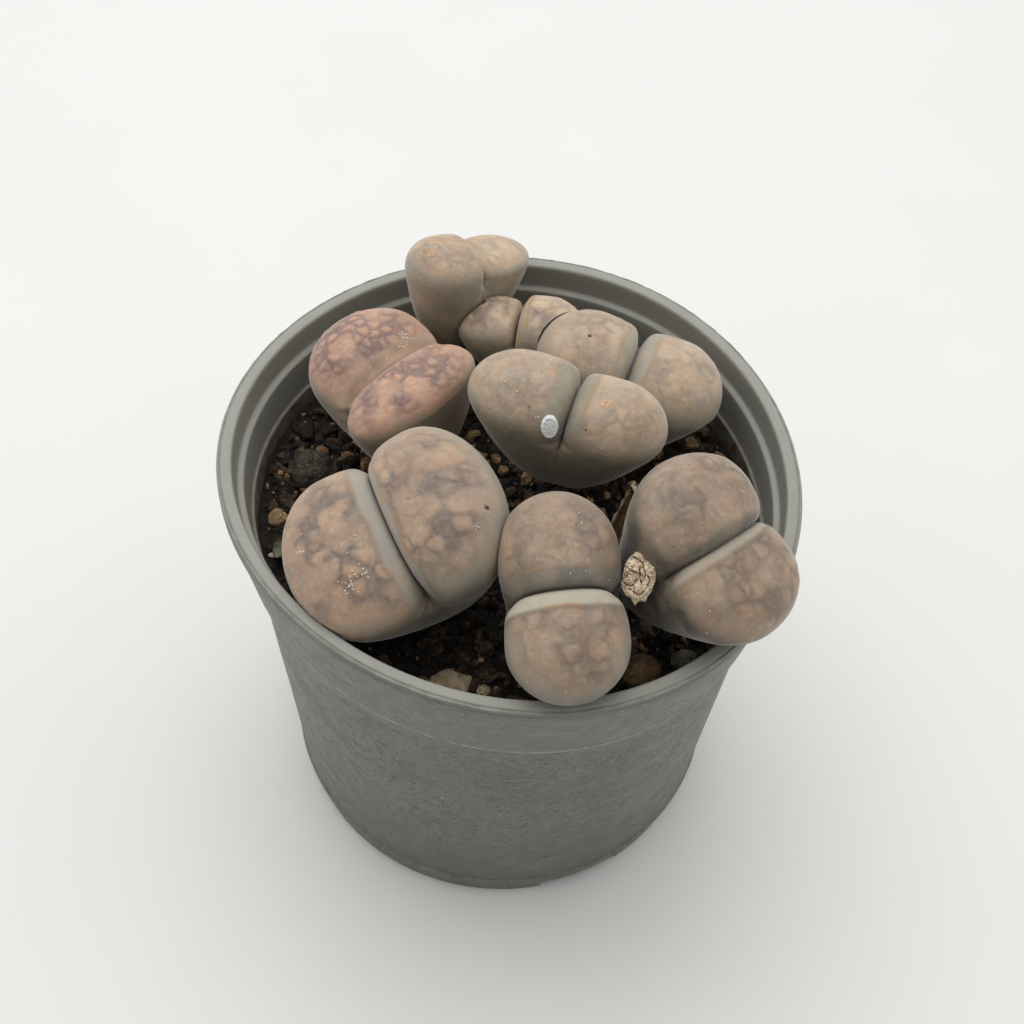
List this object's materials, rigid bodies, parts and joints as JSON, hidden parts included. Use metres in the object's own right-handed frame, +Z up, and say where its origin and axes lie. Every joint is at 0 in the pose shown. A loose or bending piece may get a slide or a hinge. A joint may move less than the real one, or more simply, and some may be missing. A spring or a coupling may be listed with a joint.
{
  "type": "potted lithops",
  "caption": "Potted cluster of living stones: paired fleshy leaves with netted faces in gritty soil, in a round plastic nursery pot.",
  "frame": {"origin": "on the surface that the pot stands on, under the middle of the rim", "axes": "+Z up, the fullest heads towards -Y, the tall back head towards +Y"},
  "size_m": [0.09, 0.0903, 0.0979],
  "materials": {
    "pot_plastic": "grained grey plastic",
    "soil": "rough gritty potting mix",
    "leaf_taupe": "matte fleshy leaf",
    "leaf_pink": "matte fleshy leaf",
    "stone_dark": "rough",
    "stone_tan": "rough",
    "stone_pale": "rough",
    "dry_plant": "dry and papery",
    "white_fleck": "matte",
    "twig": "dry bark",
    "seedling_green": "matte fleshy leaf"
  },
  "bodies": {
    "root": {"pot": "pot_plastic", "soil": "soil", "head_back_left": "leaf_taupe", "head_left": "leaf_pink", "head_back_small": "leaf_taupe", "head_back_right": "leaf_taupe", "head_centre": "leaf_taupe", "head_front_left": "leaf_taupe", "head_front_middle": "leaf_taupe", "head_right": "leaf_taupe", "stone_dark_left": "stone_dark", "stone_tan_left": "stone_tan", "stone_white_left": "stone_pale", "stone_tan_front": "stone_tan", "stone_light_front": "stone_pale", "stone_brown_right": "stone_dark", "stone_grey_right": "stone_dark", "seed_capsule": "dry_plant", "dry_leaf": "dry_plant", "white_fleck": "white_fleck", "twig": "twig", "seedling": "seedling_green"}
  },
  "joints": []
}
